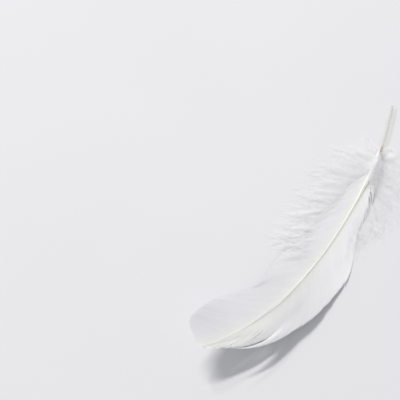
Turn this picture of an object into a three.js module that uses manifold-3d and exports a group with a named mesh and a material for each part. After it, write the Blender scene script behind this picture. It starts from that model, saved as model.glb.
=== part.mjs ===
// A white goose quill feather lying on its back: the hollow side, the underside of the wing, faces up.
// One grown piece: a hollow quill that runs on as a grooved shaft, two vanes of hooked barbs, and
// loose down round the foot of the vanes.
// Millimetres, +Z up, +X from the quill's open end to the vane's tip, z = 0 on what it lies on.
//
// Points of the feather are given by how far they are along the shaft, how far across from it
// (above 0 on the leading vane's side, under 0 on the trailing vane's side) and how high.

import * as THREE from "three";
import { mergeVertices } from "three/addons/utils/BufferGeometryUtils.js";
import Module from "manifold-3d";

const wasm = await Module();
wasm.setup();

// ---------------------------------------------------------------- driving dimensions

const SHAFT_LENGTH = 157; // quill and shaft together, seen from above
const QUILL_LENGTH = 23.5; // the bare, round part
const BORE_RADIUS = 0.92;
const BORE_DEPTH = 19.5;
const NAVEL_ALONG = 22.8; // the small pit where the shaft's groove starts
const NAVEL_SIZE = [1.7, 0.5, 0.45]; // half its length, width and depth
const QUILL_END = [-76.12, -13.048]; // where the open end lies when the footprint's middle is at 0, 0

// Tables of [along, value], read as smooth curves.
const HEADING_DEG = [
  [0, 28], [20, 21.4], [40, 14.6], [70, 7.8], [95, -0.5], [110, -5.6], [128, -15.2], [142, -24.3], [157, -33.4],
];
const UNDERSIDE = [
  [0, -0.1], [12, 0.15], [26, 0.6], [48, 0.6], [66, 0.15], [78, -0.12], [96, -0.12], [108, 1.3], [120, 3.5],
  [134, 6.8], [148, 10.6], [157, 13],
];
const SHAFT_HALF_WIDTH = [
  [0, 1.28], [4, 1.34], [20, 1.32], [28, 1.06], [45, 0.8], [60, 0.66], [80, 0.54], [100, 0.45], [135, 0.29], [157, 0.15],
];
const SHAFT_HALF_HEIGHT = [
  [0, 1.28], [4, 1.34], [20, 1.3], [28, 1.0], [45, 0.74], [60, 0.6], [80, 0.5], [100, 0.42], [135, 0.28], [157, 0.15],
];
const GROOVE_DEPTH = [[QUILL_LENGTH, 0], [28, 0.26], [60, 0.18], [110, 0.12], [150, 0.04], [157, 0]];

// The barbs that bound each vane: [foot along the shaft, tip along, tip across, bow]. The bow is how much
// farther out the barb swings before it runs on to its tip.
const VANES = {
  trailing: [
    [36, 58, -10, 0], [52, 74, -13.5, 0], [66, 88, -15.6, 0], [82, 104, -16.8, 0], [96, 117.4, -14.2, 0],
    [108, 131.5, -18, 0], [121, 146, -20.2, 0], [129, 153.6, -19.3, 0], [136, 159.2, -17.2, 0],
    [143, 162.3, -13.8, 0], [149, 162.2, -9.6, 0], [153, 162, -5.6, 0], [155.3, 161.7, -2.8, 0], [156.5, 160.8, -0.5, 0],
  ],
  leading: [
    [32, 46, 7, 0], [44, 56, 9.1, 0], [52, 65, 10.3, 0], [60, 75.2, 14, 0], [66, 84.2, 17.3, 0], [73, 93, 17.7, 0],
    [85, 107, 17.3, 0], [95, 120.5, 15.1, 1], [104, 132.5, 12.7, 5], [107, 139, 9.8, 8.5], [109, 143.5, 7.2, 11.5],
    [112, 146, 6, 10.5], [119, 149.5, 4.5, 7], [126, 152.4, 3.1, 4.6], [136, 155, 2.1, 2.6], [147, 157.4, 1.4, 0.8],
    [156.5, 160.2, 0.1, 0],
  ],
};
// How high each vane's surface stands over the shaft's middle, [along, height], where it is 16 mm out.
const RISE_OUT = 16;
const RISE_POWER = 1.3;
const RISE = {
  trailing: [[20, -0.3], [60, -0.3], [80, 0.1], [95, 0.7], [110, 1.3], [125, 1.7], [145, 2.2], [166, 2.4]],
  leading: [[20, -0.3], [72, -0.3], [82, 0.2], [92, 1.1], [104, 1.5], [118, 1.3], [132, 1], [145, 0.8], [166, 0.8]],
};
const VANE_THICKNESS = 0.5;
const VANE_ROWS = 45; // along the shaft
const VANE_COLUMNS = 6; // along a barb
const EDGE_STEP = 0.35; // how far every third bundle of barbs falls short of the edge
const BARB_FOOT_DEG = 42; // how steeply barbs leave the shaft

// Gaps where barbs have come unhooked: foot along the shaft, start and end as shares of the barb, half
// the gap's width. A gap that ends past 1 runs out through the vane's edge.
const GAPS = [
  { vane: "leading", foot: 109, start: 0.6, end: 1.03, width: 0.4 },
  { vane: "leading", foot: 119, start: 0.36, end: 0.7, width: 0.2 },
  { vane: "leading", foot: 40, start: 0.4, end: 1.03, width: 0.6 },
];

// The down's outline in the same way as the vanes', and the locks it hangs together in.
const DOWN = {
  trailing: [
    [24.3, 19, -11, 0], [26.5, 26.5, -18, 0], [29.5, 32, -25.5, 0], [33, 38, -30, 0], [38.5, 48, -31, 0],
    [46, 60, -31, 0], [54, 71, -31.5, 0], [63, 83, -31.5, 0], [71.5, 93.5, -30, 0], [79, 97, -23.5, 0],
  ],
  leading: [
    [24.3, 21, 9.5, 0], [26.5, 28, 15, 0], [29.5, 34.5, 20.5, 0], [33, 41.5, 24, 0], [38.5, 50, 24.5, 0],
    [45, 58.5, 22, 0], [51, 66.5, 18, 0], [56, 74, 15.8, 0],
  ],
};
const LOCK_COUNT = { trailing: 26, leading: 18 };
const LOCK_HALF_WIDTH = 2;
const LOCK_HALF_THICKNESS = 0.7;
const LOCK_RINGS = 6;
const LOCK_SIDES = 5;
const LOCK_WAVE = 1.3; // how far a lock swings to either side of its line
const LOCK_TIP_HEIGHTS = [0.1, 3.4, 1.5, 0.3, 4.8]; // taken in turn by the locks along the shaft
const LOCK_LENGTHS = [1, 0.86, 0.97, 0.92, 0.78];

// ---------------------------------------------------------------- tables

// The value of a table at `along`: a smooth curve through its points, straight beyond its ends.
function read(table, along, column = 1) {
  const last = table.length - 1;
  const slope = (i) => {
    const before = table[Math.max(i - 1, 0)];
    const after = table[Math.min(i + 1, last)];
    return (after[column] - before[column]) / (after[0] - before[0]);
  };
  if (along <= table[0][0]) return table[0][column] + slope(0) * (along - table[0][0]);
  if (along >= table[last][0]) return table[last][column] + slope(last) * (along - table[last][0]);
  const i = table.findIndex((row) => row[0] > along) - 1;
  const span = table[i + 1][0] - table[i][0];
  const t = (along - table[i][0]) / span;
  const ease = t * t * (3 - 2 * t);
  const bend = span * t * (1 - t) * ((1 - t) * slope(i) - t * slope(i + 1));
  return table[i][column] * (1 - ease) + table[i + 1][column] * ease + bend;
}

// ---------------------------------------------------------------- the feather's own coordinates

const STEP = 0.5;
const line = [{ x: QUILL_END[0], y: QUILL_END[1] }];
for (let along = STEP / 2; along < SHAFT_LENGTH; along += STEP) {
  const heading = THREE.MathUtils.degToRad(read(HEADING_DEG, along));
  const from = line[line.length - 1];
  line.push({ x: from.x + Math.cos(heading) * STEP, y: from.y + Math.sin(heading) * STEP });
}

function at(along, across, z) {
  const held = THREE.MathUtils.clamp(along, 0, SHAFT_LENGTH);
  const beyond = along - held;
  const heading = THREE.MathUtils.degToRad(read(HEADING_DEG, held));
  const i = Math.min(Math.floor(held / STEP), line.length - 2);
  const share = held / STEP - i;
  const x = THREE.MathUtils.lerp(line[i].x, line[i + 1].x, share);
  const y = THREE.MathUtils.lerp(line[i].y, line[i + 1].y, share);
  return new THREE.Vector3(
    x + Math.cos(heading) * beyond - Math.sin(heading) * across,
    y + Math.sin(heading) * beyond + Math.cos(heading) * across,
    z,
  );
}

const shaftMiddle = (along) => read(UNDERSIDE, along) + read(SHAFT_HALF_HEIGHT, Math.min(along, SHAFT_LENGTH));

function vaneHeight(side, along, across) {
  return shaftMiddle(along) + read(RISE[side], along) * Math.pow(Math.abs(across) / RISE_OUT, RISE_POWER);
}

// A barb's line, from its foot on the shaft (share 0) to its tip (share 1): it leaves the shaft
// steeply and leans over towards the feather's tip.
function barbPoint(table, foot, share) {
  const tipAlong = read(table, foot, 1);
  const tipAcross = read(table, foot, 2);
  const bow = read(table, foot, 3);
  const reach = Math.abs(tipAcross) / 2;
  const steep = foot + (reach + bow) / Math.tan(THREE.MathUtils.degToRad(BARB_FOOT_DEG));
  const kneeAlong = Math.min(steep, (foot + tipAlong) / 2 + 1);
  const kneeAcross = Math.sign(tipAcross) * (reach + Math.min(2, reach / 4) + bow);
  const rest = 1 - share;
  return {
    along: rest * rest * foot + 2 * rest * share * kneeAlong + share * share * tipAlong,
    across: 2 * rest * share * kneeAcross + share * share * tipAcross,
  };
}

// The same point moved sideways from the barb's line.
function besideBarb(table, foot, share, aside) {
  const here = barbPoint(table, foot, share);
  const ahead = barbPoint(table, foot, share + 0.02);
  const turn = Math.atan2(ahead.across - here.across, ahead.along - here.along);
  return { along: here.along - Math.sin(turn) * aside, across: here.across + Math.cos(turn) * aside };
}

// ---------------------------------------------------------------- closed solids

// A closed solid through rings of points that all have the same count.
function loft(rings) {
  const sides = rings[0].length;
  const index = [];
  for (let r = 0; r + 1 < rings.length; r++) {
    for (let k = 0; k < sides; k++) {
      const a = r * sides + k;
      const b = r * sides + ((k + 1) % sides);
      index.push(a, b, a + sides, b, b + sides, a + sides);
    }
  }
  // both ends are closed by a strip that runs from the ring's first and last points to its middle
  const top = (rings.length - 1) * sides;
  let low = 0;
  let high = sides - 1;
  while (high - low > 1) {
    const fromLow = high - low > 2 && low + high < sides;
    const middle = fromLow ? low + 1 : high - 1;
    index.push(low, high, middle);
    index.push(top + low, top + middle, top + high);
    if (fromLow) low = middle;
    else high = middle;
  }
  const positions = rings.flat().flatMap((point) => point.toArray());
  return new THREE.BufferGeometry()
    .setAttribute("position", new THREE.Float32BufferAttribute(positions, 3))
    .setIndex(index);
}

function solid(geometry) {
  const bare = geometry.clone();
  bare.deleteAttribute("normal");
  bare.deleteAttribute("uv");
  const merged = mergeVertices(bare, 1e-5);
  const make = (triVerts) => new wasm.Manifold(
    new wasm.Mesh({ numProp: 3, vertProperties: merged.attributes.position.array, triVerts }),
  );
  const triangles = new Uint32Array(merged.index.array);
  const made = make(triangles);
  return made.volume() > 0 ? made : make(triangles.reverse());
}

// ---------------------------------------------------------------- quill and shaft

const SHAFT_SIDES = 14;
const SHAFT_RING_STEP = 5;
const BORE_SIDES = 8;

function shaftRing(along) {
  const width = read(SHAFT_HALF_WIDTH, along);
  const height = read(SHAFT_HALF_HEIGHT, along);
  const groove = Math.max(0, read(GROOVE_DEPTH, along));
  return Array.from({ length: SHAFT_SIDES }, (_, k) => {
    const angle = -Math.PI / 2 + (2 * Math.PI * k) / SHAFT_SIDES;
    const dip = groove * Math.max(0, Math.sin(angle)) ** 6;
    return at(along, Math.cos(angle) * width, shaftMiddle(along) + Math.sin(angle) * height - dip);
  });
}

function shaftSolid() {
  const stations = [0, 2];
  for (let along = 4; along < SHAFT_LENGTH; along += SHAFT_RING_STEP) stations.push(along);
  stations.push(SHAFT_LENGTH);
  return solid(loft(stations.map(shaftRing)));
}

function boreSolid() {
  const rings = [-1, 2, 8, 14, BORE_DEPTH - 2, BORE_DEPTH].map((along) => {
    const radius = along === BORE_DEPTH ? BORE_RADIUS / 2 : BORE_RADIUS;
    return Array.from({ length: BORE_SIDES }, (_, k) => {
      const angle = (2 * Math.PI * k) / BORE_SIDES;
      return at(along, Math.cos(angle) * radius, shaftMiddle(along) + Math.sin(angle) * radius);
    });
  });
  return solid(loft(rings));
}

function navelSolid() {
  const top = shaftMiddle(NAVEL_ALONG) + read(SHAFT_HALF_HEIGHT, NAVEL_ALONG);
  const middle = at(NAVEL_ALONG, 0, top);
  return solid(
    new THREE.SphereGeometry(1, 10, 6)
      .scale(...NAVEL_SIZE)
      .rotateZ(THREE.MathUtils.degToRad(read(HEADING_DEG, NAVEL_ALONG)))
      .translate(middle.x, middle.y, middle.z),
  );
}

// ---------------------------------------------------------------- vanes

function vaneSolid(side) {
  const table = VANES[side];
  const first = table[0][0];
  const last = table[table.length - 1][0];
  const rings = Array.from({ length: VANE_ROWS + 1 }, (_, row) => {
    const foot = THREE.MathUtils.lerp(first, last, row / VANE_ROWS);
    const length = Math.max(4, Math.abs(read(table, foot, 2)));
    const full = row % 3 === 0 ? 1 - EDGE_STEP / length : 1;
    const strip = (height) => Array.from({ length: VANE_COLUMNS + 1 }, (_, column) => {
      const { along, across } = barbPoint(table, foot, (full * column) / VANE_COLUMNS);
      return at(along, across, vaneHeight(side, along, across) + height);
    });
    return [...strip(VANE_THICKNESS / 2), ...strip(-VANE_THICKNESS / 2).reverse()];
  });
  const gaps = GAPS.filter((gap) => gap.vane === side);
  return gaps.reduce((blade, gap) => blade.subtract(gapSolid(gap)), solid(loft(rings)));
}

// A wedge along a barb that soon widens to its full width and either closes again or runs out
// through the vane's edge.
function gapSolid({ vane, foot, start, end, width }) {
  const table = VANES[vane];
  const steps = 8;
  const rings = Array.from({ length: steps + 1 }, (_, step) => {
    const share = THREE.MathUtils.lerp(start, end, step / steps);
    const closing = end > 1 ? 1 : (steps - step + 0.2) / 3;
    const half = width * Math.min(1, (step + 0.2) / 3, closing);
    return [[-half, -1.2], [half, -1.2], [half, 1.2], [-half, 1.2]].map(([aside, up]) => {
      const { along, across } = besideBarb(table, foot, share, aside);
      return at(along, across, vaneHeight(vane, along, across) + up);
    });
  });
  return solid(loft(rings));
}

// ---------------------------------------------------------------- down

// One lock: a flat tuft that swings to both sides of a barb's line and ends in a point.
function lockSolid(side, foot, number) {
  const table = DOWN[side];
  const full = LOCK_LENGTHS[number % LOCK_LENGTHS.length];
  const tipHeight = LOCK_TIP_HEIGHTS[number % LOCK_TIP_HEIGHTS.length];
  const rings = Array.from({ length: LOCK_RINGS }, (_, r) => {
    const share = r / (LOCK_RINGS - 1);
    const here = barbPoint(table, foot, share * full);
    const swell = Math.sin(Math.PI * (0.12 + 0.86 * share)) ** 0.7;
    const wave = LOCK_WAVE * share * Math.sin(Math.PI * (1.5 * share + 0.7 * number));
    const arch = Math.sin(Math.PI * share) * (0.3 + tipHeight / 4);
    const z = shaftMiddle(here.along) * (1 - share) + tipHeight * share + arch;
    return Array.from({ length: LOCK_SIDES }, (_, k) => {
      const angle = Math.PI / 2 + (2 * Math.PI * k) / LOCK_SIDES;
      const aside = wave + Math.cos(angle) * LOCK_HALF_WIDTH * swell;
      const { along, across } = besideBarb(table, foot, share * full, aside);
      return at(along, across, z + Math.sin(angle) * LOCK_HALF_THICKNESS * swell);
    });
  });
  return solid(loft(rings));
}

function downSolids(side) {
  const table = DOWN[side];
  const count = LOCK_COUNT[side];
  return Array.from({ length: count }, (_, number) => {
    const foot = THREE.MathUtils.lerp(table[0][0], table[table.length - 1][0], number / (count - 1));
    return lockSolid(side, foot, number);
  });
}

// ---------------------------------------------------------------- one grown piece

const GROUND_SIZE = [400, 400, 20];
const SLIVER = 0.012; // edges shorter than this are closed up where two surfaces cross

function featherSolid() {
  const grown = [
    shaftSolid(),
    vaneSolid("trailing"),
    vaneSolid("leading"),
    ...downSolids("trailing"),
    ...downSolids("leading"),
  ];
  const ground = new THREE.BoxGeometry(...GROUND_SIZE).translate(0, 0, -GROUND_SIZE[2] / 2);
  const cuts = [boreSolid(), navelSolid(), solid(ground)];
  const fused = cuts.reduce((left, cut) => left.subtract(cut), grown.reduce((sum, piece) => sum.add(piece)));
  // locks that cross can shut in small hollows: only the outer shell is kept
  const shells = fused.simplify(SLIVER).decompose();
  return shells.reduce((best, shell) => (shell.volume() > best.volume() ? shell : best));
}

function asGeometry(made) {
  const mesh = made.getMesh();
  const positions = new Float32Array(mesh.numVert * 3);
  for (let i = 0; i < mesh.numVert; i++) {
    positions.set(mesh.vertProperties.subarray(i * mesh.numProp, i * mesh.numProp + 3), i * 3);
  }
  const geometry = new THREE.BufferGeometry()
    .setAttribute("position", new THREE.BufferAttribute(positions, 3))
    .setIndex(new THREE.BufferAttribute(mesh.triVerts, 1));
  geometry.computeVertexNormals();
  return geometry;
}

const keratin = new THREE.MeshStandardMaterial({ color: 0xf1f0ee, roughness: 0.75, metalness: 0 });

const feather = new THREE.Mesh(asGeometry(featherSolid()), keratin);
feather.name = "feather";

const group = new THREE.Group();
group.add(feather);

export default group;
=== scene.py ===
import math

import bpy
import numpy as np
from mathutils import Matrix


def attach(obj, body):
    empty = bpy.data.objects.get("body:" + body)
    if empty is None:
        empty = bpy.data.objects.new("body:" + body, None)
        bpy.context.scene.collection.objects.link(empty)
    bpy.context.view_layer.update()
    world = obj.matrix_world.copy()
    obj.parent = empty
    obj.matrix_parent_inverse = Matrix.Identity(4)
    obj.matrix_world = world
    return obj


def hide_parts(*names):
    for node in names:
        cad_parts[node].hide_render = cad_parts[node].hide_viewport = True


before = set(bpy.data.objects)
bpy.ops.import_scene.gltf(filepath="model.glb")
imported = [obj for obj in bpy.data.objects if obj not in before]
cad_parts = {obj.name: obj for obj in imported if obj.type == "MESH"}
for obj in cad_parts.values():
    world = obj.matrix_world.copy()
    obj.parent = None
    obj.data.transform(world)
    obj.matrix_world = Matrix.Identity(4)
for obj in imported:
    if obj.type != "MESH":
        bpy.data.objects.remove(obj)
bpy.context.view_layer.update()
MM = 0.001

# ---------------------------------------------------------------- dimensions, as in the part's source

SHAFT_LENGTH = 157.0 # quill and shaft together, seen from above
QUILL_LENGTH = 23.5 # the bare, round part
BORE_RADIUS = 0.92
BORE_DEPTH = 19.5
NAVEL_ALONG = 22.8 # the small pit where the shaft's groove starts
QUILL_END = (-76.12, -13.048)

# Tables of (along, value), read as smooth curves.
HEADING_DEG = [
    (0, 28), (20, 21.4), (40, 14.6), (70, 7.8), (95, -0.5), (110, -5.6), (128, -15.2), (142, -24.3),
    (157, -33.4),
]
UNDERSIDE = [
    (0, -0.1), (12, 0.15), (26, 0.6), (48, 0.6), (66, 0.15), (78, -0.12), (96, -0.12), (108, 1.3), (120, 3.5),
    (134, 6.8), (148, 10.6), (157, 13),
]
SHAFT_HALF_WIDTH = [
    (0, 1.28), (4, 1.34), (20, 1.32), (28, 1.06), (45, 0.8), (60, 0.66), (80, 0.54), (100, 0.45), (135, 0.29),
    (157, 0.15),
]
SHAFT_HALF_HEIGHT = [
    (0, 1.28), (4, 1.34), (20, 1.3), (28, 1.0), (45, 0.74), (60, 0.6), (80, 0.5), (100, 0.42), (135, 0.28),
    (157, 0.15),
]

# The barbs that bound each vane: foot along the shaft, tip along, tip across, and how much farther out
# the barb bows before it runs on to its tip.
VANES = {
    "trailing": [
        (36, 58, -10, 0), (52, 74, -13.5, 0), (66, 88, -15.6, 0), (82, 104, -16.8, 0), (96, 117.4, -14.2, 0),
        (108, 131.5, -18, 0), (121, 146, -20.2, 0), (129, 153.6, -19.3, 0), (136, 159.2, -17.2, 0),
        (143, 162.3, -13.8, 0), (149, 162.2, -9.6, 0), (153, 162, -5.6, 0), (155.3, 161.7, -2.8, 0),
        (156.5, 160.8, -0.5, 0),
    ],
    "leading": [
        (32, 46, 7, 0), (44, 56, 9.1, 0), (52, 65, 10.3, 0), (60, 75.2, 14, 0), (66, 84.2, 17.3, 0),
        (73, 93, 17.7, 0), (85, 107, 17.3, 0), (95, 120.5, 15.1, 1), (104, 132.5, 12.7, 5),
        (107, 139, 9.8, 8.5), (109, 143.5, 7.2, 11.5), (112, 146, 6, 10.5), (119, 149.5, 4.5, 7),
        (126, 152.4, 3.1, 4.6), (136, 155, 2.1, 2.6), (147, 157.4, 1.4, 0.8), (156.5, 160.2, 0.1, 0),
    ],
}
# How high each vane stands over the shaft's middle where it is RISE_OUT from the shaft.
RISE_OUT = 16
RISE_POWER = 1.3
RISE = {
    "trailing": [
        (20, -0.3), (60, -0.3), (80, 0.1), (95, 0.7), (110, 1.3), (125, 1.7), (145, 2.2), (166, 2.4),
    ],
    "leading": [
        (20, -0.3), (72, -0.3), (82, 0.2), (92, 1.1), (104, 1.5), (118, 1.3), (132, 1), (145, 0.8),
        (166, 0.8),
    ],
}
BARB_FOOT_DEG = 42 # how steeply barbs leave the shaft

# The down's outline in the same way as the vanes', and the locks it hangs together in.
DOWN = {
    "trailing": [
        (24.3, 19, -11, 0), (26.5, 26.5, -18, 0), (29.5, 32, -25.5, 0), (33, 38, -30, 0), (38.5, 48, -31, 0),
        (46, 60, -31, 0), (54, 71, -31.5, 0), (63, 83, -31.5, 0), (71.5, 93.5, -30, 0), (79, 97, -23.5, 0),
    ],
    "leading": [
        (24.3, 21, 9.5, 0), (26.5, 28, 15, 0), (29.5, 34.5, 20.5, 0), (33, 41.5, 24, 0), (38.5, 50, 24.5, 0),
        (45, 58.5, 22, 0), (51, 66.5, 18, 0), (56, 74, 15.8, 0),
    ],
}
LOCK_COUNT = {"trailing": 26, "leading": 18}
LOCK_HALF_WIDTH = 2.0
LOCK_HALF_THICKNESS = 0.7
LOCK_WAVE = 1.3 # how far a lock swings to either side of its line
LOCK_TIP_HEIGHTS = np.array([0.1, 3.4, 1.5, 0.3, 4.8]) # taken in turn by the locks along the shaft
LOCK_LENGTHS = np.array([1, 0.86, 0.97, 0.92, 0.78]) # taken in turn too


def read(table, along, column=1):
    """A table's value at `along`: a smooth curve through its points, straight beyond its ends."""
    rows = np.array(table, float)
    x, y = rows[:, 0], rows[:, column]
    slope = np.empty_like(y)
    slope[1:-1] = (y[2:] - y[:-2]) / (x[2:] - x[:-2])
    slope[0] = (y[1] - y[0]) / (x[1] - x[0])
    slope[-1] = (y[-1] - y[-2]) / (x[-1] - x[-2])
    along = np.asarray(along, float)
    i = np.clip(np.searchsorted(x, along, side="right") - 1, 0, len(x) - 2)
    span = x[i + 1] - x[i]
    t = np.clip((along - x[i]) / span, 0, 1)
    ease = t * t * (3 - 2 * t)
    bend = span * t * (1 - t) * ((1 - t) * slope[i] - t * slope[i + 1])
    inside = y[i] * (1 - ease) + y[i + 1] * ease + bend
    return inside + np.minimum(along - x[0], 0) * slope[0] + np.maximum(along - x[-1], 0) * slope[-1]


# the shaft's line seen from above, added up from short steps along its heading
STEP = 0.5
MIDDLES = np.arange(STEP / 2, SHAFT_LENGTH, STEP)
HEADINGS = np.radians(read(HEADING_DEG, MIDDLES))
LINE_ALONG = np.arange(len(MIDDLES) + 1) * STEP
LINE_X = QUILL_END[0] + np.concatenate([[0], np.cumsum(np.cos(HEADINGS) * STEP)])
LINE_Y = QUILL_END[1] + np.concatenate([[0], np.cumsum(np.sin(HEADINGS) * STEP)])


def at(along, across, z):
    """Points in the row frame, in millimetres, for arrays of the feather's own coordinates."""
    along, across, z = np.broadcast_arrays(along, across, z)
    held = np.clip(along, 0, SHAFT_LENGTH)
    beyond = along - held
    heading = np.radians(read(HEADING_DEG, held))
    x = np.interp(held, LINE_ALONG, LINE_X) + np.cos(heading) * beyond - np.sin(heading) * across
    y = np.interp(held, LINE_ALONG, LINE_Y) + np.sin(heading) * beyond + np.cos(heading) * across
    return np.stack([x, y, z], -1)


def shaft_middle(along):
    return read(UNDERSIDE, along) + read(SHAFT_HALF_HEIGHT, np.minimum(along, SHAFT_LENGTH))


def vane_height(side, along, across):
    return shaft_middle(along) + read(RISE[side], along) * (np.abs(across) / RISE_OUT) ** RISE_POWER


def barb_point(table, foot, share):
    """Along and across of a barb's line, at each share of it from its foot on the shaft to its tip."""
    tip_along, tip_across, bow = (read(table, foot, column) for column in (1, 2, 3))
    reach = np.abs(tip_across) / 2
    steep = foot + (reach + bow) / math.tan(math.radians(BARB_FOOT_DEG))
    knee_along = np.minimum(steep, (foot + tip_along) / 2 + 1)
    knee_across = np.sign(tip_across) * (reach + np.minimum(2, reach / 4) + bow)
    rest = 1 - share
    along = rest * rest * foot + 2 * rest * share * knee_along + share * share * tip_along
    across = 2 * rest * share * knee_across + share * share * tip_across
    return along, across


def barb_turn(table, foot, share):
    """The direction of a barb's line, as an angle from the shaft's."""
    along, across = barb_point(table, foot, share)
    ahead_along, ahead_across = barb_point(table, foot, share + 0.02)
    return np.arctan2(ahead_across - across, ahead_along - along)


# ---------------------------------------------------------------- helpers


def smooth(low, high, value):
    t = np.clip((value - low) / (high - low), 0, 1)
    return t * t * (3 - 2 * t)


def unit(vectors):
    return vectors / np.maximum(np.linalg.norm(vectors, axis=-1, keepdims=True), 1e-12)


def noise(rng, count, wavelength, spacing):
    """A smooth random line of `count` samples, about -1 to 1, that changes over `wavelength`."""
    knots = rng.uniform(-1, 1, int(count * spacing / wavelength) + 4)
    place = np.arange(count) * spacing / wavelength
    i = place.astype(int)
    t = place - i
    t = t * t * (3 - 2 * t)
    return knots[i] * (1 - t) + knots[i + 1] * t


def tubes(centres, sideways, upwards, width, height, profile):
    """Closed strips along centres (strips, points, 3), with one profile [(sideways, upwards)] scaled by
    width and height (strips, points). Returns points, four-sided faces and three-sided faces."""
    strips, points = centres.shape[:2]
    around = len(profile)
    shape = np.array(profile, float)
    verts = (
        centres[:, :, None]
        + sideways[:, :, None] * (shape[:, 0] * width[..., None])[..., None]
        + upwards[:, :, None] * (shape[:, 1] * height[..., None])[..., None]
    )
    b = np.arange(strips)[:, None, None] * points * around
    n = np.arange(points - 1)[None, :, None] * around
    k = np.arange(around)[None, None]
    here, after = b + n + k, b + n + (k + 1) % around
    quads = np.stack([here, after, after + around, here + around], -1).reshape(-1, 4)
    fan = np.arange(1, around - 1)
    start = (np.arange(strips) * points * around)[:, None]
    end = start + (points - 1) * around
    caps = np.concatenate([
        np.stack([start + 0 * fan, start + fan + 1, start + fan], -1).reshape(-1, 3),
        np.stack([end + 0 * fan, end + fan, end + fan + 1], -1).reshape(-1, 3),
    ])
    return verts.reshape(-1, 3), quads, caps


def make_piece(name, verts, quads, tris, material, floats=None, vectors=None, sharp=None):
    """A mesh piece that rides on the feather and stands for its solid. Points come in millimetres;
    edges between two points that are both marked in `sharp` with the same number stay sharp."""
    mesh = bpy.data.meshes.new(name)
    loops = np.concatenate([quads.ravel(), tris.ravel()]).astype(np.int32)
    sizes = np.concatenate([np.full(len(quads), 4), np.full(len(tris), 3)]).astype(np.int32)
    mesh.vertices.add(len(verts))
    mesh.vertices.foreach_set("co", (verts * MM).astype(np.float32).ravel())
    mesh.loops.add(len(loops))
    mesh.loops.foreach_set("vertex_index", loops)
    mesh.polygons.add(len(sizes))
    mesh.polygons.foreach_set("loop_start", np.concatenate([[0], np.cumsum(sizes)[:-1]]).astype(np.int32))
    mesh.update(calc_edges=True)
    mesh.polygons.foreach_set("use_smooth", np.full(len(sizes), True))
    if sharp is not None:
        ends = np.empty(2 * len(mesh.edges), np.int32)
        mesh.edges.foreach_get("vertices", ends)
        marks = sharp[ends.reshape(-1, 2)]
        hard = (marks[:, 0] > 0) & (marks[:, 0] == marks[:, 1])
        mesh.attributes.new("sharp_edge", "BOOLEAN", "EDGE").data.foreach_set("value", hard)
    for key, values in (floats or {}).items():
        made = mesh.attributes.new(key, "FLOAT", "POINT")
        made.data.foreach_set("value", np.ravel(values).astype(np.float32))
    for key, values in (vectors or {}).items():
        made = mesh.attributes.new(key, "FLOAT_VECTOR", "POINT")
        made.data.foreach_set("vector", np.ravel(values).astype(np.float32))
    mesh.materials.append(material)
    piece = bpy.data.objects.new(name, mesh)
    bpy.context.scene.collection.objects.link(piece)
    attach(piece, "root")
    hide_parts("feather")
    return piece


# ---------------------------------------------------------------- materials


class Nodes:
    """A material's node tree, with short calls to add and link nodes."""

    def __init__(self, name):
        self.material = bpy.data.materials.new(name)
        self.material.use_nodes = True
        self.tree = self.material.node_tree
        self.tree.nodes.clear()

    def add(self, kind, settings=None, **inputs):
        node = self.tree.nodes.new(kind)
        for key, value in (settings or {}).items():
            setattr(node, key, value)
        for key, value in inputs.items():
            self.put(node, key.replace("_", " "), value)
        return node

    def put(self, node, key, value):
        socket = node.inputs[int(key)] if key.isdigit() else node.inputs[key]
        if isinstance(value, bpy.types.NodeSocket):
            self.tree.links.new(value, socket)
        else:
            socket.default_value = value

    def attribute(self, name, output="Fac"):
        return self.add("ShaderNodeAttribute", {"attribute_name": name}).outputs[output]

    def ramp(self, value, stops):
        node = self.add("ShaderNodeValToRGB", Fac=value)
        elements = node.color_ramp.elements
        while len(elements) < len(stops):
            elements.new(0.5)
        for element, (place, colour) in zip(elements, stops):
            element.position = place
            element.color = (*colour, 1)
        return node.outputs["Color"]

    def mix(self, share, first, second, blend="MIX"):
        node = self.add("ShaderNodeMix", {"data_type": "RGBA", "blend_type": blend})
        self.put(node, "0", share)
        self.put(node, "6", first)
        self.put(node, "7", second)
        return node.outputs[2]

    def math(self, operation, first, second=0.0):
        node = self.add("ShaderNodeMath", {"operation": operation})
        self.put(node, "0", first)
        self.put(node, "1", second)
        return node.outputs[0]

    def noise(self, vector, **inputs):
        return self.add("ShaderNodeTexNoise", Vector=vector, **inputs).outputs["Fac"]

    def scaled(self, vector, scale):
        node = self.add("ShaderNodeMapping", Vector=vector)
        node.inputs["Scale"].default_value = scale
        return node.outputs[0]

    def bump(self, height, distance, strength=1.0):
        return self.add("ShaderNodeBump", Height=height, Distance=distance, Strength=strength).outputs[0]

    def finish(self, shader):
        self.add("ShaderNodeOutputMaterial", Surface=shader)
        return self.material

    def finish_mixed(self, share, first, second):
        node = self.add("ShaderNodeMixShader", Fac=share)
        self.put(node, "1", first.outputs[0])
        self.put(node, "2", second.outputs[0])
        return self.finish(node.outputs[0])


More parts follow.
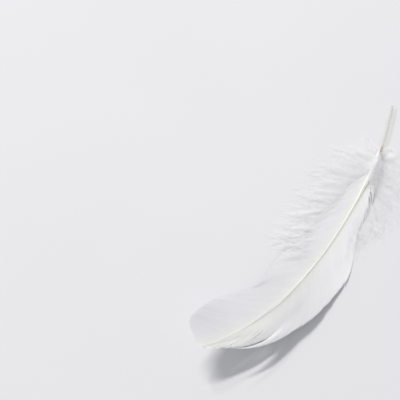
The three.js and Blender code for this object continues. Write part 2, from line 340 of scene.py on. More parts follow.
def vane_material(name, cool, cream, translucent):
    """Barbs: near white, cream by the shaft, with faint streaks along them."""
    n = Nodes(name)
    grain = n.attribute("grain", "Vector")
    streaks = n.noise(n.scaled(grain, (0.05, 0.5, 1)), Scale=1.0, Detail=5.0, Roughness=0.65)
    fine = n.noise(n.scaled(grain, (2.5, 5.0, 1)), Scale=1.0, Detail=3.0, Roughness=0.5)
    tint = n.mix(n.attribute("cream"), cool, cream)
    shade = n.ramp(streaks, [(0.3, (0.95, 0.95, 0.955)), (0.7, (1.0, 1.0, 1.0))])
    # painted shade, from the piece's own attribute, darkens the colour
    painted_shade = n.ramp(n.attribute("painted_shade"), [(0.0, (0.0, 0.0, 0.0)), (1.0, (1.0, 1.0, 1.0))])
    colour = n.mix(1.0, n.mix(1.0, tint, shade, "MULTIPLY"), painted_shade, "MULTIPLY")
    normal = n.bump(fine, 0.00003, 0.4)
    surface = n.add(
        "ShaderNodeBsdfPrincipled", Base_Color=colour, Roughness=0.62, Normal=normal,
        Sheen_Weight=0.1, Sheen_Roughness=0.5,
    )
    through = n.add("ShaderNodeBsdfTranslucent", Color=colour, Normal=normal)
    return n.finish_mixed(translucent, surface, through)


def down_material(name, white, translucent):
    """Down: white, in faint patches."""
    n = Nodes(name)
    patches = n.noise(n.attribute("grain", "Vector"), Scale=0.35, Detail=3.0)
    shade = n.ramp(patches, [(0.3, (0.96, 0.96, 0.965)), (0.7, (1.0, 1.0, 1.0))])
    colour = n.mix(1.0, white, shade, "MULTIPLY")
    surface = n.add("ShaderNodeBsdfPrincipled", Base_Color=colour, Roughness=0.7)
    through = n.add("ShaderNodeBsdfTranslucent", Color=colour)
    return n.finish_mixed(translucent, surface, through)


def shaft_material():
    """Keratin: ivory along the shaft, pale and clear in the quill, brown in its navel."""
    black, white = (0.0, 0.0, 0.0), (1.0, 1.0, 1.0)
    n = Nodes("shaft_keratin")
    grain = n.attribute("grain", "Vector")
    fibre = n.noise(n.scaled(grain, (0.1, 2.6, 2.6)), Scale=1.0, Detail=4.0, Roughness=0.55)
    pith = n.noise(n.scaled(grain, (0.07, 1.6, 1.6)), Scale=1.0, Detail=2.0, Roughness=0.5)
    # ivory, darker from about a sixth to two fifths of the way along: painted shade that dulls the shaft's
    # lit flank there
    base = n.ramp(n.attribute("away"), [
        (0.0, (0.94, 0.94, 0.92)),
        (0.13, (0.94, 0.94, 0.91)),
        (0.17, (0.82, 0.82, 0.785)),
        (0.25, (0.80, 0.80, 0.765)),
        (0.42, (0.87, 0.87, 0.83)),
        (0.6, (0.94, 0.94, 0.90)),
        (0.8, (0.96, 0.96, 0.92)),
        (1.0, (0.935, 0.935, 0.90)),
    ])
    fibres = n.ramp(fibre, [(0.3, (0.92, 0.915, 0.89)), (0.68, white)])
    colour = n.mix(0.8, base, fibres, "MULTIPLY")
    inside = n.ramp(pith, [(0.4, (0.80, 0.79, 0.72)), (0.6, white)])
    quill = n.attribute("quill")
    navel = n.attribute("navel")
    # painted shade: where the quill's walls are seen edge on from above, its colour is darkened, most on the
    # trailing side, which faces the key light
    turned = n.add("ShaderNodeSeparateXYZ", Vector=grain).outputs["Y"]
    wall = n.ramp(n.math("ABSOLUTE", turned), [(0.72, black), (0.95, white)])
    edge = n.ramp(turned, [(0.0, (0.34, 0.33, 0.30)), (1.0, (0.8, 0.8, 0.77))])
    tube = n.mix(n.math("MULTIPLY", wall, 0.7), n.mix(1.0, colour, inside, "MULTIPLY"), edge)
    colour = n.mix(navel, n.mix(quill, colour, tube), (0.26, 0.20, 0.17, 1))
    surface = n.add(
        "ShaderNodeBsdfPrincipled", Base_Color=colour, Roughness=0.38, Normal=n.bump(fibre, 0.00004, 0.5),
        Subsurface_Weight=0.5, Subsurface_Radius=(1.0, 1.0, 1.0), Subsurface_Scale=0.0005,
        Coat_Weight=0.1, Coat_Roughness=0.25,
    )
    # the quill is clear horn, clearer between its walls than through them
    # the trailing wall is less clear, so that its painted shade shows
    lit_edge = n.ramp(n.math("MULTIPLY", turned, -1.0), [(0.84, black), (0.95, white)])
    clear = n.math("SUBTRACT", 0.97, n.math("MULTIPLY", wall, 0.08))
    clear = n.math("SUBTRACT", clear, n.math("MULTIPLY", lit_edge, 0.15))
    clear = n.math("MULTIPLY", quill, clear)
    clear = n.math("MULTIPLY", clear, n.math("SUBTRACT", 1.0, navel))
    through = n.add("ShaderNodeBsdfTransparent", Color=(1.0, 1.0, 0.992, 1))
    return n.finish_mixed(clear, surface, through)


def floor_material():
    """A pale, even floor, a little bluish, with a fine grain."""
    n = Nodes("pale_floor")
    place = n.add("ShaderNodeTexCoord").outputs["Object"]
    colour = n.ramp(n.noise(place, Scale=9.0, Detail=3.0), [
        (0.3, (0.713, 0.706, 0.725)),
        (0.7, (0.728, 0.721, 0.739)),
    ])
    normal = n.bump(n.noise(place, Scale=700.0, Detail=2.0), 0.00003, 0.3)
    surface = n.add("ShaderNodeBsdfPrincipled", Base_Color=colour, Roughness=0.8, Normal=normal)
    return n.finish(surface.outputs[0])


# ---------------------------------------------------------------- quill and shaft

SHAFT_AROUND = 48
AROUND = np.linspace(0, 2 * math.pi, SHAFT_AROUND, endpoint=False)[None]
HOLLOW_SIDE = np.sin(AROUND) > 0
FINE_TO, FINE_STEP, COARSE_STEP = 30, 0.5, 1.2 # rings are closer together over the quill and its navel
SQUARE_OVER, SQUARENESS = 14, 0.32 # beyond the quill, the section turns from round to squarish
# Beyond the quill the shaft is a little narrower than the solid's, because barbs cover its flanks.
COVERED_FROM, COVERED_TO, COVERED = 30, 50, 0.1
# Where the hollow side sinks between the vanes, unlike the solid's: from and to along the shaft, and
# by which share of the half height.
SUNK = [(40, 62, 0.36), (112, 138, 0.44)]
# The groove lies to the leading side of the shaft's middle. It is deeper than the solid's up to about
# 120 along and shallower beyond. Its place and half width are shares of the shaft's half width.
GROOVE_DEPTH = [(QUILL_LENGTH, 0), (28, 0.26), (60, 0.24), (100, 0.18), (130, 0.06), (150, 0.02), (157, 0)]
GROOVE_ACROSS, GROOVE_HALF_WIDTH = 0.3, 0.22
NAVEL_HALF_LENGTH, NAVEL_HALF_WIDTH, NAVEL_DEPTH = 1.1, 0.34, 0.42
# the brown stain in the navel is longer than the pit, and its middle lies a little farther along and
# to the leading side
STAIN_ALONG, STAIN_ACROSS, STAIN_HALF_LENGTH, STAIN_HALF_WIDTH = 0.4, 0.2, 2.4, 0.36
SCAR, SCAR_LENGTH = 0.02, 2 # how rough the quill's open end is, and over which length
# the bore from its blind end out to the quill's open end, as (along, share of its radius)
BORE = [
    (BORE_DEPTH, 0.05), (BORE_DEPTH - 0.4, 0.6), (BORE_DEPTH - 1.2, 1), (15, 1), (11, 1), (7, 1), (4, 1),
    (2, 1), (1, 1), (0.3, 1.04), (0, 1.12),
]
QUILL_FADE = 3 # over which length, to either side of its end, the clear horn turns to ivory


def shaft_section(along):
    """Points round the shaft at each place along it: round in the quill, squarer with a groove beyond."""
    along = along[:, None]
    power = 1 - SQUARENESS * smooth(QUILL_LENGTH, QUILL_LENGTH + SQUARE_OVER, along)
    wide = np.sign(np.cos(AROUND)) * np.abs(np.cos(AROUND)) ** power
    high = np.sign(np.sin(AROUND)) * np.abs(np.sin(AROUND)) ** power
    half_width = read(SHAFT_HALF_WIDTH, along)
    across = wide * half_width * (1 - COVERED * smooth(COVERED_FROM, COVERED_TO, along))
    sunk = sum(share * smooth(start, end, along) for start, end, share in SUNK)
    half_height = read(SHAFT_HALF_HEIGHT, along) * (1 - sunk * HOLLOW_SIDE)
    groove_out = (across - GROOVE_ACROSS * half_width) / (GROOVE_HALF_WIDTH * half_width)
    groove = np.maximum(0, read(GROOVE_DEPTH, along)) * np.exp(-(groove_out**2)) * HOLLOW_SIDE
    navel_out = -(((along - NAVEL_ALONG) / NAVEL_HALF_LENGTH) ** 2) - (across / NAVEL_HALF_WIDTH) ** 2
    navel = NAVEL_DEPTH * np.exp(navel_out) * HOLLOW_SIDE
    return across, shaft_middle(along) + high * half_height - groove - navel


def shaft_piece(material, rng):
    """The quill and the shaft as one skin, which turns in at the open end and lines the bore."""
    fine, coarse = np.arange(0, FINE_TO, FINE_STEP), np.arange(FINE_TO, SHAFT_LENGTH, COARSE_STEP)
    stations = np.concatenate([fine, coarse, [SHAFT_LENGTH]])
    across, z = shaft_section(stations)
    scar = SCAR * rng.normal(size=z.shape) * smooth(SCAR_LENGTH, 0, stations)[:, None]
    outer = at(stations[:, None], across, np.maximum(z + scar, 0.0))
    deep, radius = np.array(BORE).T[:, :, None]
    radius = BORE_RADIUS * radius
    inner = at(deep, np.cos(AROUND) * radius, shaft_middle(deep) + np.sin(AROUND) * radius)
    rings = np.concatenate([inner, outer])
    count = len(rings)
    k = np.arange(SHAFT_AROUND)
    after = (k + 1) % SHAFT_AROUND
    row = (np.arange(count - 1) * SHAFT_AROUND)[:, None]
    ahead = row + SHAFT_AROUND
    quads = np.stack([row + k, row + after, ahead + after, ahead + k], -1).reshape(-1, 4)
    fan = np.arange(1, SHAFT_AROUND - 1)
    last = (count - 1) * SHAFT_AROUND
    tris = np.concatenate([
        np.stack([0 * fan, fan + 1, fan], -1),
        np.stack([last + 0 * fan, last + fan, last + fan + 1], -1),
    ])
    along = np.repeat(np.concatenate([deep, stations[:, None]]), SHAFT_AROUND, 1)
    turn = np.repeat(AROUND, count, 0)
    off = np.concatenate([np.cos(AROUND) * radius, across])
    stain_out = -(((along - NAVEL_ALONG - STAIN_ALONG) / STAIN_HALF_LENGTH) ** 4)
    stain_out = stain_out - ((off - STAIN_ACROSS) / STAIN_HALF_WIDTH) ** 2
    return make_piece(
        "shaft", rings.reshape(-1, 3), quads, tris, material,
        floats={
            "away": along / SHAFT_LENGTH,
            "quill": smooth(QUILL_LENGTH + QUILL_FADE, QUILL_LENGTH - QUILL_FADE, along),
            "navel": np.exp(stain_out) * (np.sin(turn) > 0.2),
        },
        vectors={"grain": np.stack([along, np.cos(turn), np.sin(turn)], -1)},
    )


# ---------------------------------------------------------------- vanes

BARB_SPACING = 0.42 # along the shaft
BARB_JITTER = 0.08 # how far a barb's foot is off its even place
BARB_POINTS, BARB_CROWDING = 22, 0.9 # points along a barb, a little closer together towards its tip
# a barb's section: a low ridge on the hollow side, with a flange of hooked barbules to each side, of
# which the front one lies over the next barb's rear one
BARB_PROFILE = [(-1.0, -0.25), (-0.25, 0.0), (0.0, 0.4), (0.25, 0.05), (1.0, 0.32), (0.0, -0.45)]
BARB_SHARP = [1, 0, 0, 0, 2, 0] # the rims of the two flanges stay sharp
BARB_HALF_HEIGHT = 0.075
FOOT_THICK, THINNING = 1.25, 0.75 # times that height at the foot, and how much less at the tip
BARB_HALF_WIDTH = 0.66 # against the way to the next barb, so that neighbours overlap
NARROWEST_WAY, WIDEST_WAY = 0.1, 0.5 # the limits of that way
TAPER_FROM, TAPER = 0.94, 0.85 # the share of a barb beyond which it narrows, and by how much
BARB_FLOOR = 0.07 # the lowest a barb lies
# how uneven the barbs are, as (size, wavelength along the shaft): how much shorter, how far they lean
# in the vane's surface and how far they lift out of it
TIP_WAVES = [(0.35, 7), (0.2, 1.6)]
TIP_JITTER = 0.08
LEAN_WAVES = [(0.25, 9), (0.1, 2.5)]
LIFT_WAVES = [(0.1, 11), (0.03, 2.2)]
# the barbs nearest the down are of uneven length: how much of a barb can be missing, by its foot
RAGGED = {
    "leading": [(32, 0.75), (38, 0.5), (46, 0.25), (54, 0.12), (64, 0.03), (70, 0.0)],
    "trailing": [(36, 0.35), (58, 0.16), (74, 0.08), (84, 0.02), (90, 0.0)],
}
RAGGED_LEAN, RAGGED_LIFT = 0.6, 0.35 # how much more those lean and lift
# how far barbs climb the shaft's side at their feet, as a share of its half height
FOOT_CLIMB = {
    "leading": [(32, 0.4), (50, 0.3), (100, 0.25), (120, 0.3), (138, 0.2), (157, 0.2)],
    "trailing": [(32, 0.4), (50, 0.42), (100, 0.45), (120, 0.45), (138, 0.2), (157, 0.2)],
}
CLIMB_OUT = 1.5 # how far out from the shaft that wears off
# how far the vane's outer part sinks onto the down, from where to where out from the shaft, and over
# which stretch of the shaft that comes in towards the quill
SETTLE = {"trailing": 0.2, "leading": 0.25}
SETTLE_OUT, SETTLE_UP_TO = (5, 14), (95, 70)
# how far the barbs' tips bend down into the down, from which share of a barb and over which stretch
TIP_DROP = {"trailing": 0.0, "leading": 0.7}
TIP_DROP_FROM, TIP_DROP_UP_TO = 0.7, (76, 64)
# Gaps where barbs have come unhooked: foot along the shaft, start and end as shares of the barb, how
# far the barbs before the gap lie outwards and those after it inwards, and how far both stand up. One
# that ends past 1 is open at the vane's edge.
GAPS = {
    "leading": [
        (109, 0.58, 2, -0.4, 0.85, 1.6, -1.2), (119, 0.36, 0.74, 0.13, 0.13, 0.15, -0.1),
        (122.5, 0.32, 0.66, 0.08, 0.08, 0.08, -0.05), (40, 0.34, 2, 0.6, 0.1, -0.05, 0),
        (92, 0.88, 2, 0.2, 0.2, 0.1, 0), (69, 0.9, 2, 0.2, 0.2, 0.15, -0.1),
    ],
    "trailing": [
        (147, 0.93, 2, 0.12, 0.12, 0.1, 0), (117, 0.92, 2, 0.15, 0.15, -0.1, 0),
        (100, 0.9, 2, 0.16, 0.16, 0.15, 0), (61, 0.7, 2, 0.2, 0.2, 0.1, 0),
    ],
}
GAP_REACH = 3 # how fast barbs lie closer again, along the shaft to either side of a gap
GAP_OPENS, GAP_CLOSES = 0.15, 0.2 # over which share of the barb
LIP_SLOPE = 0.35 # the power of that at which they come down again, so that a lip is longer than its gap
LIP_FOOT = GAPS["leading"][0][0] # the widest gap's
LIP_EXTRA = 5.0 # how much longer the barbs of its outer lip are, for one of LIP_LENGTH
LIP_LENGTH, LIP_EXTRA_REACH = 34, 1.2
LIP_PAINTED_SHADE = 0.08 # painted shade on a lip that stands up towards the light: how much darker its colour is for each millimetre it stands up
PAINTED_SHADE_START = 36 # before this place along the shaft both painted shades stay as they are there
# painted shade on the vane, for how the light falls on it: the share of its colour that is kept, by place
# along the shaft
VANE_PAINTED_SHADE = {
    "leading": [(32, 1), (70, 1), (84, 0.96), (96, 0.85), (110, 0.825), (122, 0.865), (134, 0.95), (157, 1)],
    "trailing": [(36, 0.97), (80, 0.95), (110, 0.93), (128, 0.955), (140, 1), (157, 1)],
}
# the same for its outer part, and where that begins and is complete, out from the shaft
OUTER_PAINTED_SHADE = {
    "leading": [
        (32, 1), (70, 1), (84, 0.94), (96, 0.84), (110, 0.76), (122, 0.78), (134, 0.8), (146, 0.88),
        (157, 0.95),
    ],
    "trailing": [(36, 0.97), (80, 0.94), (110, 0.915), (128, 0.965), (140, 1), (157, 1)],
}
OUTER_FROM, OUTER_FULL = 3, 9
# how far out from the shaft the vane's cream reaches, by place along the shaft, and between which
# shares of that it fades
CREAM_REACH = {
    "leading": [(30, 3), (80, 4), (110, 5), (125, 7), (140, 8), (157, 8)],
    "trailing": [(36, 3), (80, 3.5), (110, 4), (140, 4.3), (157, 5)],
}
CREAM_START = 30 # before this place along the shaft the reach stays as it is there
CREAM_FADE = (0.35, 1.3)


def waves(rng, count, sizes):
    """A random value for each barb, alike in neighbours, added up from (size, wavelength)."""
    return sum(size * noise(rng, count, wavelength, BARB_SPACING) for size, wavelength in sizes)


def vane_piece(side, name, material, rng):
    """One vane, barb by barb."""
    table = VANES[side]
    hand = 1 if side == "leading" else -1
    foot = np.arange(table[0][0], table[-1][0], BARB_SPACING)
    count = len(foot)
    foot = (foot + rng.uniform(-BARB_JITTER, BARB_JITTER, count))[:, None]
    share = np.linspace(0, 1, BARB_POINTS)[None] ** BARB_CROWDING
    length = np.abs(read(table, foot, 2)) + 6 # about the barb's
    shorter = np.abs(waves(rng, count, TIP_WAVES) + rng.normal(0, TIP_JITTER, count))[:, None]
    missing = np.clip(read(RAGGED[side], foot), 0, 1) * rng.uniform(0, 1, (count, 1))
    ragged = missing * (foot < RAGGED[side][-1][0])
    full = 1 - shorter / length - ragged
    if side == "leading":
        near_lip = np.exp(-np.maximum(LIP_FOOT - foot, 0) / LIP_EXTRA_REACH) * (foot < LIP_FOOT)
        full = full + LIP_EXTRA / LIP_LENGTH * near_lip
    along, across = barb_point(table, foot, share * full)
    turn = barb_turn(table, foot, share * full)
    # bundles of barbs lean and lift a little, each its own way
    uneven = ragged[:, 0]
    lean = waves(rng, count, LEAN_WAVES) + RAGGED_LEAN * uneven * rng.normal(0, 1, count)
    lift = waves(rng, count, LIFT_WAVES) + RAGGED_LIFT * uneven * rng.normal(0, 1, count)
    aside = -hand * lean[:, None] * share**2
    z = vane_height(side, along, across) + lift[:, None] * share**1.5
    by_shaft = read(SHAFT_HALF_HEIGHT, np.minimum(along, SHAFT_LENGTH))
    climb = read(FOOT_CLIMB[side], np.clip(along, FOOT_CLIMB[side][0][0], SHAFT_LENGTH)) * by_shaft
    out = np.abs(across)
    z = z + climb * np.exp(-out / CLIMB_OUT)
    z = z - SETTLE[side] * smooth(*SETTLE_OUT, out) * smooth(*SETTLE_UP_TO, along)
    z = z - TIP_DROP[side] * smooth(TIP_DROP_FROM, 1, share) * smooth(*TIP_DROP_UP_TO, along)
    whole = at(along, across, z)
    stand = 0 * share
    for gap_foot, start, end, before_out, after_in, before_up, after_up in GAPS[side]:
        before = np.exp(-np.maximum(gap_foot - foot, 0) / GAP_REACH) * (foot < gap_foot)
        after = np.exp(-np.maximum(foot - gap_foot, 0) / GAP_REACH) * (foot >= gap_foot)
        closing = smooth(end, end - GAP_CLOSES, share)
        opening = smooth(start, start + GAP_OPENS, share)
        aside = aside + hand * opening * closing * (before * before_out - after * after_in)
        # the barbs by a gap stand up together, as one lip
        raised = smooth(start - GAP_OPENS, 1.05, share) * closing
        lip = before**LIP_SLOPE * before_up
        stand = stand + raised * lip
        z = z + raised * (lip + after**LIP_SLOPE * after_up)
    along, across = along - np.sin(turn) * aside, across + np.cos(turn) * aside
    centres = at(along, across, np.maximum(z, BARB_FLOOR))
    # sideways is towards the next barb, in the surface that the vane has where it's whole
    forward = unit(np.gradient(centres, axis=1))
    beside = np.gradient(whole, axis=0)
    normal = np.cross(forward, beside)
    normal = unit(normal * np.sign(normal[..., 2:3]))
    sideways = np.cross(normal, forward)
    way = (beside * sideways).sum(-1)
    taper = 1 - TAPER * smooth(TAPER_FROM, 1, share)
    half = np.clip(np.abs(way), NARROWEST_WAY, WIDEST_WAY) * BARB_HALF_WIDTH * taper
    thick = BARB_HALF_HEIGHT * (FOOT_THICK - THINNING * share) * np.ones_like(half)
    sideways = sideways * np.sign(way)[..., None]
    verts, quads, tris = tubes(centres, sideways, normal, half, thick, BARB_PROFILE)
    around = len(BARB_PROFILE)
    spread = lambda values: np.repeat(np.broadcast_to(values, half.shape)[..., None], around, -1)
    steps = np.linalg.norm(np.diff(centres, axis=1, prepend=centres[:, :1]), axis=-1)
    grain = np.stack([spread(np.cumsum(steps, axis=1)), spread(foot), spread(0 * foot)], -1)
    out = np.abs(across)
    cream_reach = read(CREAM_REACH[side], np.clip(along, CREAM_START, SHAFT_LENGTH))
    cream = 1 - smooth(*CREAM_FADE, out / cream_reach)
    # painted shade by place along the shaft, for the inner and the outer part of the vane
    held = np.clip(along, PAINTED_SHADE_START, SHAFT_LENGTH)
    outer = smooth(OUTER_FROM, OUTER_FULL, out)
    painted_shade = read(VANE_PAINTED_SHADE[side], held) * (1 - outer) + read(OUTER_PAINTED_SHADE[side], held) * outer
    # painted shade on lips that stand up towards the light
    painted_shade = painted_shade * (1 - LIP_PAINTED_SHADE * np.maximum(stand, 0))
    return make_piece(
        name, verts, quads, tris, material,
        floats={"cream": spread(cream), "painted_shade": spread(np.minimum(painted_shade, 1))},
        vectors={"grain": grain},
        sharp=np.tile(BARB_SHARP, half.size),
    )


# ---------------------------------------------------------------- down

DOWN_POINTS = 26 # along a down barb
DOWN_LENGTH = 30 # about a barb's
RAMUS_PROFILE = [(1.0, 0.0), (-0.5, 0.87), (-0.5, -0.87)]
RAMUS_RADIUS = 0.018
RAMUS_TAPER = 0.7
DOWN_FLOOR, SETTLE_OVER = 0.06, 0.4 # the lowest a down barb lies, and how far above it barbs ease off
HAIR_FLOOR = 0.01 # the lowest that a barbule comes
SHOULDER = {"trailing": 0.3, "leading": 1.5} # how far above the shaft's middle the down starts
# The down barbs higher up the shaft are hooked at first: none before the first foot, and from the second
# on for the third value, as a share of the barb. HOOKED_VARIES multiplies that share.
HOOKED = {"trailing": (33, 52, 0.42), "leading": (33, 46, 0.34)}
HOOKED_VARIES = (0.55, 1.35)
# the locks: how their barbs lie in them, and how many of the locks close up towards their tips
BARBS_PER_LOCK, LOCK_ROWS = 8, 55 # rows are of barbules, here and below
LOCK_BARB_LENGTHS = (0.7, 1.05)
LOCK_SPREAD = 1.5 # how far to either side barbs lie, in half widths of a lock
GATHERED_LOCKS, GATHERED, UNGATHERED = 0.5, 0.65, 0.15
LOCK_WANDER = ((11.0, 0.6), (5.0, 0.25)) # each (wavelength, size)
LOCK_BARBULE = 2.0 # its length
# the loose barbs
LOOSE_BARBS, LOOSE_ROWS = {"trailing": 150, "leading": 130}, 50
LOOSE_BEYOND = {"trailing": 7, "leading": 8} # how far past the last lock they still grow
LOOSE_BARB_LENGTHS = (0.65, 1.05)
LOOSE_HEIGHTS = (0.1, 1.5)
LOOSE_WANDER = ((16.0, 2.0), (7.0, 0.7))
FOLDED_SHARE, FOLDED_BARBULE, OPEN_BARBULE = 0.3, 0.7, 2.2
# the short ones by the navel: their feet along the shaft, how far they lie to a side, their lengths
AFTER_BARBS, AFTER_ROWS, AFTER_BARE = 75, 30, 0.02
AFTER_FEET, AFTER_OUT, AFTER_LENGTHS = (24, 35), (-0.6, 0.8), (7, 13)
AFTER_ABOVE = 0.3 # how far over the shaft the highest start
AFTER_FALL = 2.2 # how far those that lie to a side come down beside the shaft
AFTER_WANDER = ((6.0, 0.5),)
AFTER_BARBULE, AFTER_RUFFLE, AFTER_HALF_WIDTH = 1.6, 0.15, 0.025
# the barbules, which grow between two shares of a barb's free part
BARE_SHARE, LAST_PLACE = 0.05, 0.99
BARBULE_HALF_WIDTH = 0.005
BARBULE_LENGTHS = (0.5, 1.15) # against the length given for a piece
BARBULE_DEG, BARBULE_CLOSING_DEG = (34, 66), 22 # their angle to the barb, less by this at its tip
BARBULE_ROLL_DEG = 17 # how far they roll about the barb
BARBULE_BEND, BARBULE_LIFT = (-0.2, 0.8), 0.14 # how far their outer half bends forward and up
BARBULE_TILT = 0.2 # how far their flat side is off level
# how long they are by place: short at the barb's foot, full from the first value to the second, and
# short again at its tip
LONG_FROM, LONG_TO = 0.3, 0.55
SHORT_AT_FOOT, SHORTER_AT_TIP = 0.35, 0.6


def first_share(side, foot, rng):
    """Where along its line a down barb comes free: at the shaft by the navel, and farther up it beyond
    the part whose barbules are hooked."""
    start, end, share = HOOKED[side]
    return share * smooth(start, end, foot) * rng.uniform(*HOOKED_VARIES, foot.shape)


def falling(side, along, share):
    """A down barb's height where it comes down from beside the shaft onto the floor."""
    return (shaft_middle(along) + SHOULDER[side] * (1 - share) ** 3) * (1 - share)


def wander(rng, along, z, share, sizes):
    """Each barb swings by itself, more towards its tip."""
    count = len(along)
    for wavelength, size in sizes:
        phase = rng.uniform(0, 2 * math.pi, (2, count, 1))
        reach = DOWN_LENGTH * share / wavelength * 2 * math.pi
        along = along + size * share * np.sin(reach + phase[0])
        z = z + 0.6 * size * share * np.sin(reach * 0.8 + phase[1])
    return along, z


def settled(z):
    """Heights eased up where they would come under the floor."""
    low = DOWN_FLOOR + SETTLE_OVER
    eased = DOWN_FLOOR + SETTLE_OVER * np.exp(np.minimum(z - low, 0) / SETTLE_OVER)
    return np.where(z < low, eased, z)


def lock_foot(side, number):
    """Where along the shaft a lock starts."""
    first, last = DOWN[side][0][0], DOWN[side][-1][0]
    return first + (last - first) * number / (LOCK_COUNT[side] - 1)


def lock_lines(side, number, share, full, offset, layer):
    """The down barbs' lines in along, across and height, each in its lock, as arrays (barbs, points)."""
    table = DOWN[side]
    foot = lock_foot(side, number)
    tip_height = LOCK_TIP_HEIGHTS[number % len(LOCK_TIP_HEIGHTS)]
    along, across = barb_point(table, foot, share * full)
    turn = barb_turn(table, foot, share * full)
    # a lock is narrow at its foot, widest before its middle and narrowest at its tip
    swell = np.sin(math.pi * (0.12 + 0.8 * np.clip(share, 0, 1))) ** 0.7
    wave = LOCK_WAVE * share * np.sin(math.pi * (1.5 * share + 0.7 * number))
    aside = wave + offset * LOCK_HALF_WIDTH * swell
    # a lock's tip stands up a little on its own line, and its middle arches
    arch = np.sin(math.pi * share) * 0.1 * tip_height
    z = falling(side, along, share) + 0.3 * tip_height * share**2 + arch
    z = z + 0.6 * layer * LOCK_HALF_THICKNESS * swell
    return along - np.sin(turn) * aside, across + np.cos(turn) * aside, z


def down_piece(
    name, centres, share, bare, rows, barbule, material, rng, ruffle=1.0, half_width=BARBULE_HALF_WIDTH,
):
    """Down barbs along centres (barbs, points, 3), each with soft flat barbules to both sides beyond
    its bare share. The hairs lie mostly level, as hairs do that have settled."""
    count = len(centres)
    forward = unit(np.gradient(centres, axis=1))
    up = np.broadcast_to([0.0, 0.0, 1.0], forward.shape)
    sideways = unit(np.cross(up, forward))
    upwards = np.cross(forward, sideways)
    ramus = RAMUS_RADIUS * (1 - RAMUS_TAPER * share) * np.ones((count, 1))
    verts, quads, tris = tubes(centres, sideways, upwards, ramus, ramus, RAMUS_PROFILE)
    # `place` runs from 0 to 1 over the free part of each barb
    row = np.arange(rows)[None] + rng.uniform(0, 1, (count, rows))
    place = bare + (LAST_PLACE - bare) * row / rows
    spot = place * (DOWN_POINTS - 1)
    i = np.minimum(spot.astype(int), DOWN_POINTS - 2)
    t = (spot - i)[..., None]
    barb = np.arange(count)[:, None]
    pick = lambda values: values[barb, i] * (1 - t) + values[barb, i + 1] * t
    base, fore, beside, above = pick(centres), pick(forward), pick(sideways), pick(upwards)
    each = (count, rows, 1)
    sized = SHORT_AT_FOOT + (1 - SHORT_AT_FOOT) * smooth(0, LONG_FROM, place)
    sized = (sized - SHORTER_AT_TIP * smooth(LONG_TO, 1, place))[..., None]
    hairs = []
    for hand in (-1, 1):
        spread = np.radians(rng.uniform(*BARBULE_DEG, each) - BARBULE_CLOSING_DEG * place[..., None])
        roll = np.radians(rng.normal(0, BARBULE_ROLL_DEG * ruffle, each))
        out = hand * beside * np.cos(roll) + above * np.sin(roll)
        aim = unit(fore * np.cos(spread) + out * np.sin(spread))
        bend = fore * rng.uniform(*BARBULE_BEND, each)
        bent = unit(aim + bend + above * rng.normal(0, BARBULE_LIFT * ruffle, each))
        size = barbule * rng.uniform(*BARBULE_LENGTHS, each) * sized
        knee = base + aim * size * 0.5
        tip = knee + bent * size * 0.5
        level = np.array([0, 0, 1.0]) + rng.normal(0, BARBULE_TILT * ruffle, (count, rows, 3))
        flat = unit(np.cross(aim, level)) * half_width
        hair = np.stack([base - flat, base + flat, knee + flat * 0.8, knee - flat * 0.8, tip], 2)
        hairs.append(hair.reshape(-1, 3))
    hairs = np.concatenate(hairs)
    hairs[:, 2] = np.maximum(hairs[:, 2], HAIR_FLOOR)
    start = len(verts) + 5 * np.arange(len(hairs) // 5)[:, None]
    verts = np.concatenate([verts, hairs])
    quads = np.concatenate([quads, start + np.array([0, 1, 2, 3])])
    tris = np.concatenate([tris, start + np.array([3, 2, 4])])
    return make_piece(name, verts, quads, tris, material, vectors={"grain": verts})


def locks_piece(side, name, material, rng):
    """The down in its locks: barbs that run together and close up towards each lock's tip."""
    number = np.repeat(np.arange(LOCK_COUNT[side]), BARBS_PER_LOCK)[:, None]
    count = len(number)
    start = first_share(side, lock_foot(side, number), rng)
    share = start + (1 - start) * np.linspace(0, 1, DOWN_POINTS)[None]
    full = LOCK_LENGTHS[number % len(LOCK_LENGTHS)] * rng.uniform(*LOCK_BARB_LENGTHS, (count, 1))
    closes = rng.uniform(0, 1, (LOCK_COUNT[side], 1)) < GATHERED_LOCKS
    gather = np.where(closes, GATHERED, UNGATHERED)[number[:, 0]]
    offset = rng.uniform(-LOCK_SPREAD, LOCK_SPREAD, (count, 1)) * (1 - gather * share**3)
    offset = offset + 0.2 * rng.normal(size=(count, 1)) * share
    layer = rng.uniform(-1, 1, (count, 1)) * (1 - 0.3 * share)
    along, across, z = lock_lines(side, number, share, full, offset, layer)
    along, z = wander(rng, along, z, share, LOCK_WANDER)
    centres = at(along, across, settled(z))
    return down_piece(name, centres, share, BARE_SHARE, LOCK_ROWS, LOCK_BARBULE, material, rng)


def loose_piece(side, name, material, rng):
    """Down barbs that lie loose between and over the locks."""
    table, barbs = DOWN[side], LOOSE_BARBS[side]
    first, last = table[0][0], table[-1][0] + LOOSE_BEYOND[side]
    foot = rng.uniform(first, last, (barbs, 1))
    start = first_share(side, foot, rng)
    share = start + (1 - start) * np.linspace(0, 1, DOWN_POINTS)[None]
    full = rng.uniform(*LOOSE_BARB_LENGTHS, (barbs, 1))
    along, across = barb_point(table, foot, share * full)
    height = rng.uniform(*LOOSE_HEIGHTS, (barbs, 1))
    z = falling(side, along, share) + height * share**0.8 + 0.25 * np.sin(math.pi * share)
    along, z = wander(rng, along, z, share, LOOSE_WANDER)
    # some barbs have their barbules folded close, and show as thin white strands
    folded = rng.uniform(0, 1, (barbs, 1, 1)) < FOLDED_SHARE
    barbule = np.where(folded, FOLDED_BARBULE, OPEN_BARBULE)
    centres = at(along, across, settled(z))
    return down_piece(name, centres, share, BARE_SHARE, LOOSE_ROWS, barbule, material, rng)


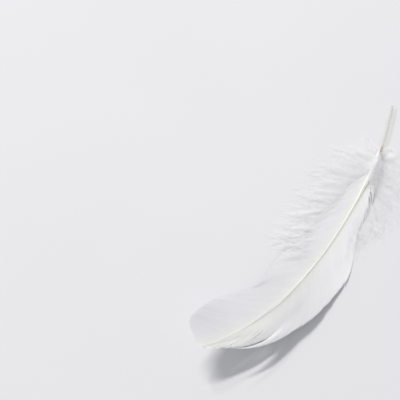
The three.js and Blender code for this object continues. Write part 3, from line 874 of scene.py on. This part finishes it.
def afterfeather_piece(name, material, rng):
    """Short down by the navel, part of which lies over the shaft."""
    share = np.linspace(0, 1, DOWN_POINTS)[None]
    each = (AFTER_BARBS, 1)
    foot = rng.uniform(*AFTER_FEET, each)
    out = rng.uniform(*AFTER_OUT, each)
    reach = rng.uniform(*AFTER_LENGTHS, each)
    along = foot + reach * share * (1 - 0.4 * np.abs(out))
    across = 0.5 * out + out * reach * 0.8 * share**1.3
    top = shaft_middle(foot) + read(SHAFT_HALF_HEIGHT, foot)
    z = top + AFTER_ABOVE * rng.uniform(0, 1, each) - AFTER_FALL * np.abs(out) * share
    along, z = wander(rng, along, z, share, AFTER_WANDER)
    centres = at(along, across, settled(z))
    return down_piece(
        name, centres, share, AFTER_BARE, AFTER_ROWS, AFTER_BARBULE, material, rng, AFTER_RUFFLE,
        AFTER_HALF_WIDTH,
    )


# ---------------------------------------------------------------- the feather

WHITE_VANE = vane_material("vane_white", (0.93, 0.925, 0.945, 1), (0.935, 0.935, 0.90, 1), 0.12)
WHITE_DOWN = down_material("down_white", (0.99, 0.99, 0.992, 1), 0.15)

shaft_piece(shaft_material(), np.random.default_rng(1))
vane_piece("trailing", "vane_trailing", WHITE_VANE, np.random.default_rng(2))
vane_piece("leading", "vane_leading", WHITE_VANE, np.random.default_rng(3))
locks_piece("trailing", "down_trailing", WHITE_DOWN, np.random.default_rng(4))
locks_piece("leading", "down_leading", WHITE_DOWN, np.random.default_rng(5))
loose_piece("trailing", "down_loose_trailing", WHITE_DOWN, np.random.default_rng(6))
loose_piece("leading", "down_loose_leading", WHITE_DOWN, np.random.default_rng(7))
afterfeather_piece("down_afterfeather", WHITE_DOWN, np.random.default_rng(8))

# ---------------------------------------------------------------- floor, light and camera

FLOOR_HALF = 6.0
FLOOR_CORNERS = [(-1, -1), (1, -1), (1, 1), (-1, 1)]
mesh = bpy.data.meshes.new("floor")
mesh.from_pydata([(x * FLOOR_HALF, y * FLOOR_HALF, 0) for x, y in FLOOR_CORNERS], [], [(0, 1, 2, 3)])
mesh.materials.append(floor_material())
floor = bpy.data.objects.new("floor", mesh)
bpy.context.scene.collection.objects.link(floor)

# The camera looks straight down. The picture's right and up in the row frame:
PICTURE_RIGHT = (-0.6505, 0.7595)
PICTURE_UP = (-0.7595, -0.6505)
PICTURE_CENTRE = (0.02257, -0.055668)
PICTURE_WIDTH = 0.2 # on the floor
LENS, SENSOR = 100.0, 36.0
CAMERA_HEIGHT = PICTURE_WIDTH * LENS / SENSOR

camera = bpy.data.cameras.new("camera")
camera.lens = LENS
camera.sensor_width = SENSOR
camera.clip_start = 0.01
camera.clip_end = 10
eye = bpy.data.objects.new("camera", camera)
eye.matrix_world = Matrix((
    (PICTURE_RIGHT[0], PICTURE_UP[0], 0, PICTURE_CENTRE[0]),
    (PICTURE_RIGHT[1], PICTURE_UP[1], 0, PICTURE_CENTRE[1]),
    (0, 0, 1, CAMERA_HEIGHT),
    (0, 0, 0, 1),
))
bpy.context.scene.collection.objects.link(eye)
bpy.context.scene.camera = eye

# The key light is wide and low: its shadows are soft sideways and crisp lengthways. A weak second one
# casts the faint shadow line past the key's.
LAMP_DISTANCE = 4.0
LAMPS = {
    # the way it casts on the floor in the row frame, elevation in degrees, width, height, power in watts
    "key": ((0.4234, 0.8893), 34, 1.8, 0.24, 146.0),
    "second": ((0.5120, 0.8590), 28, 0.2, 0.2, 26.0),
}
LAMP_COLOUR = (1.0, 0.985, 0.97)

for name, (cast, elevation, width, height, power) in LAMPS.items():
    light = bpy.data.lights.new(name, "AREA")
    light.shape = "ELLIPSE"
    light.size, light.size_y = width, height
    light.energy = power
    light.color = LAMP_COLOUR
    steep = math.radians(elevation)
    z_axis = np.array([-cast[0] * math.cos(steep), -cast[1] * math.cos(steep), math.sin(steep)])
    x_axis = unit(np.cross([0, 0, 1.0], z_axis))
    axes = np.stack([x_axis, np.cross(z_axis, x_axis), z_axis], 1)
    lamp = bpy.data.objects.new(name, light)
    lamp.matrix_world = Matrix.Translation(z_axis * LAMP_DISTANCE) @ Matrix(axes.tolist()).to_4x4()
    bpy.context.scene.collection.objects.link(lamp)

# the light from all round
SKY_COLOUR, SKY_STRENGTH = (0.95, 0.975, 1.0, 1), 0.535

world = bpy.data.worlds.new("studio")
world.use_nodes = True
background = world.node_tree.nodes["Background"]
background.inputs["Color"].default_value = SKY_COLOUR
background.inputs["Strength"].default_value = SKY_STRENGTH
bpy.context.scene.world = world
bpy.context.scene.view_settings.view_transform = "Standard"
